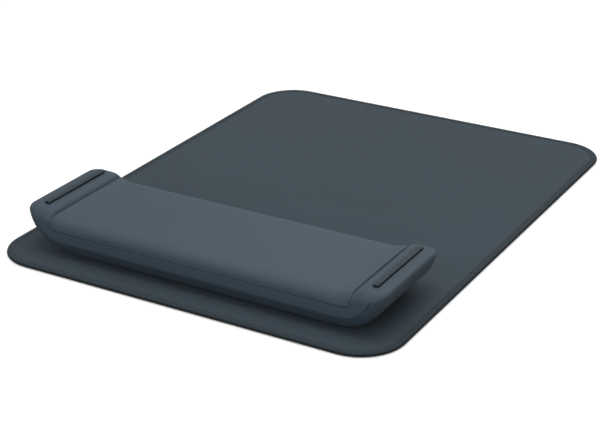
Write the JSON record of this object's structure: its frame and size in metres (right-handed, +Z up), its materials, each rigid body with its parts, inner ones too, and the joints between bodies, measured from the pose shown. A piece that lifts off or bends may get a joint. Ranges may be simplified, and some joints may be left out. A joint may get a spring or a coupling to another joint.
{
  "type": "mouse mat with wrist rest",
  "caption": "Flat cloth mouse mat with a loose wrist rest: a tray with curled-up ends, rubber strips on its rims and a lift-out padded insert.",
  "frame": {"origin": "centre of the mat's underside, on the desk", "axes": "+X to the user's right along the mat's front edge, +Y away from the user, +Z up"},
  "size_m": [0.2, 0.26, 0.0237],
  "materials": {
    "mat_rubber": "foamed natural rubber, fine waffle underside",
    "mat_cloth": "fine woven polyester, matte",
    "edge_thread": "overlocked polyester thread",
    "shell_soft_touch": "soft-touch coated moulding",
    "lower_shell_plastic": "fine moulded texture",
    "strip_rubber": "finely speckled moulded rubber",
    "foot_rubber": "matte rubber",
    "screw_steel": "zinc-plated steel",
    "pad_skin": "soft matte synthetic skin, very fine grain",
    "pad_foam": "open-cell foam",
    "pad_board_plastic": "moulded board"
  },
  "bodies": {
    "mat": {"mat_rubber_base": "mat_rubber", "mat_cloth": "mat_cloth", "mat_edge_binding": "edge_thread"},
    "rest": {"upper_shell": "shell_soft_touch", "lower_shell": "lower_shell_plastic", "left_lip_cap": "shell_soft_touch", "right_lip_cap": "shell_soft_touch", "left_grip_strip": "strip_rubber", "right_grip_strip": "strip_rubber", "grip_feet": "foot_rubber", "shell_screws": "screw_steel"},
    "pad": {"pad_cover": "pad_skin", "pad_foam": "pad_foam", "pad_board": "pad_board_plastic"}
  },
  "joints": [
    {"name": "rest_slide", "type": "slide", "parent": "mat", "child": "rest", "axis": [0, 1, 0], "range_m": [-0.009, 0.18]},
    {"name": "pad_lift", "type": "slide", "parent": "rest", "child": "pad", "axis": [0, 0, 1], "range_m": [0, 0.03]}
  ]
}
